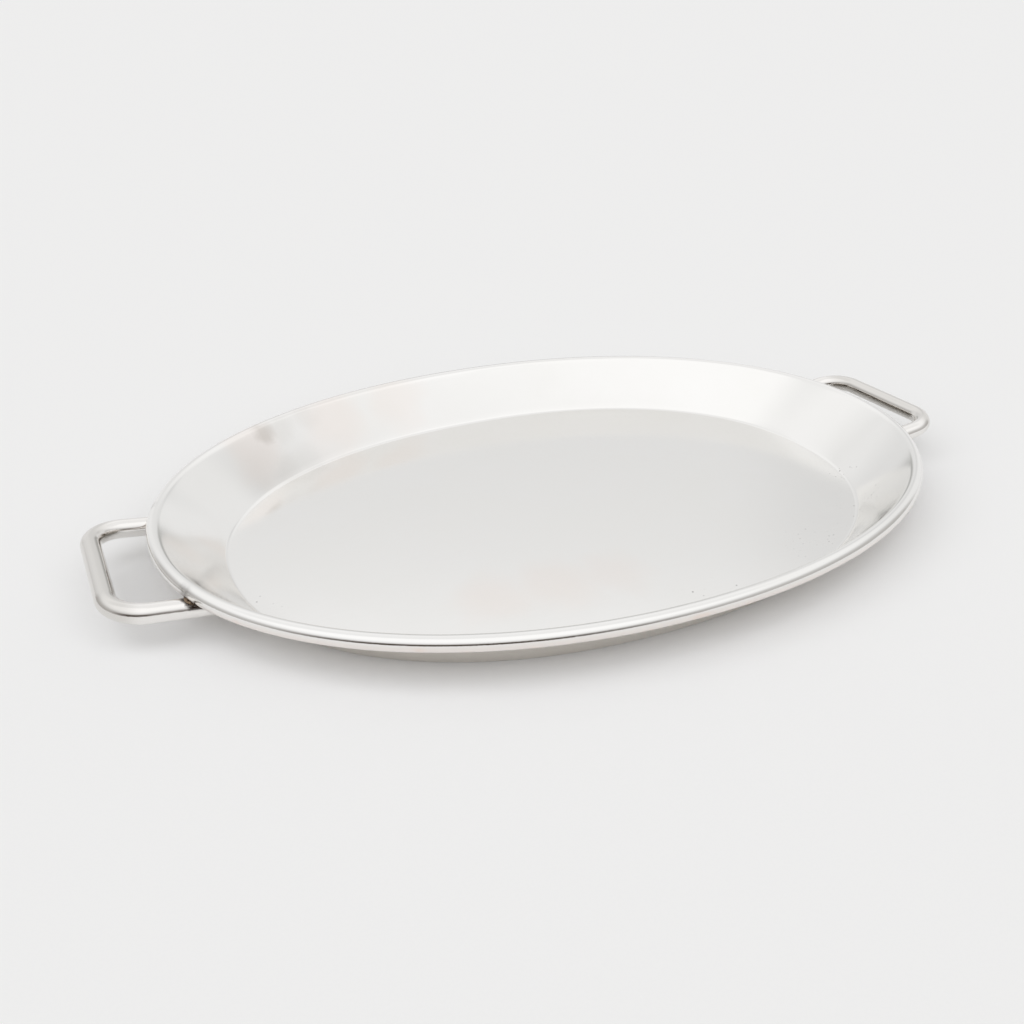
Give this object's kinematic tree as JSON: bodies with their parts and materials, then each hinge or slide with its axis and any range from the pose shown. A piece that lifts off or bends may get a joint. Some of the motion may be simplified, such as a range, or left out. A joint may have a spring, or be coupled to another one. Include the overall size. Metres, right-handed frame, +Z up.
{
  "type": "serving tray",
  "caption": "Large oval serving tray of polished silver plate, with a flat floor, a flared wall, a rolled rim and a brazed loop handle at each end.",
  "frame": {"origin": "on the table, under the middle of the tray's floor", "axes": "+X from the left handle to the right one, +Y across the tray, +Z up"},
  "size_m": [0.608, 0.3914, 0.038],
  "materials": {
    "silver_plate": "polished silver plate, worn by hand polishing",
    "braze": "tarnished silver solder",
    "core_wire": "drawn wire"
  },
  "bodies": {
    "root": {"tray_body": "silver_plate", "rim_wire": "core_wire", "handle_left": "silver_plate", "handle_right": "silver_plate", "foot_braze_left_front": "braze", "foot_braze_left_back": "braze", "foot_braze_right_front": "braze", "foot_braze_right_back": "braze", "rim_braze_left_front": "braze", "rim_braze_left_back": "braze", "rim_braze_right_front": "braze", "rim_braze_right_back": "braze"}
  },
  "joints": []
}
